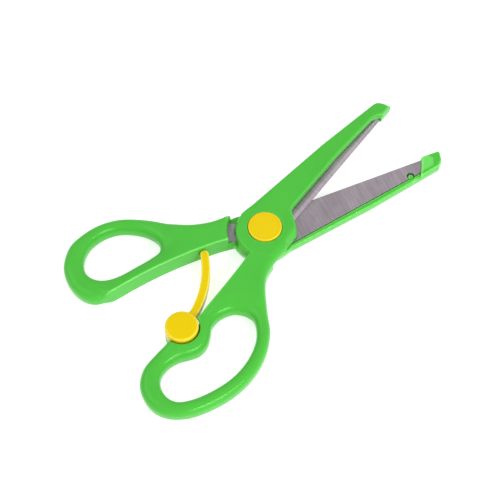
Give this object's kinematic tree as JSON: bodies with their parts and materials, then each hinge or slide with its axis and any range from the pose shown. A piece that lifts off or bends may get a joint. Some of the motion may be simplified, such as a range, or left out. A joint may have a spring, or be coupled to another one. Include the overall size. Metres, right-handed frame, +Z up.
{
  "type": "safety scissors",
  "caption": "Child's spring-assisted safety scissors with straight steel blades in green plastic covers, blunt tip hoods, a round pivot cap and a yellow opening lever.",
  "frame": {"origin": "on the pivot axis, in the plane the scissors lie on", "axes": "+X along the centre line between the open blades towards the tips, +Z up along the pivot axis, out of the capped upper half"},
  "size_m": [0.1322, 0.0749, 0.0086],
  "materials": {
    "green_plastic": "gloss",
    "yellow_plastic": "gloss",
    "blade_steel": "ground",
    "rivet_steel": "satin"
  },
  "bodies": {
    "upper_scissor": {"upper_half": "green_plastic", "upper_blade": "blade_steel", "pivot_rivet": "rivet_steel", "pivot_washer": "rivet_steel", "pivot_cap": "yellow_plastic"},
    "lower_scissor": {"lower_half": "green_plastic", "lower_blade": "blade_steel"},
    "lever": {"opening_lever": "yellow_plastic"}
  },
  "joints": [
    {"name": "scissor_hinge", "type": "hinge", "parent": "upper_scissor", "child": "lower_scissor", "pos_m": [0, 0, 0.0039], "axis": [0, 0, 1], "range_deg": [-3, 18.5], "stiffness_Nm_per_rad": 0.05},
    {"name": "lever_hinge", "type": "hinge", "parent": "upper_scissor", "child": "lever", "pos_m": [-0.0428, -0.0123, 0.0045], "axis": [0, 0, 1], "range_deg": [-19, 3.5]}
  ],
  "couplings": [
    {"joint": "lever_hinge", "follows": "scissor_hinge", "ratio": -0.97}
  ]
}
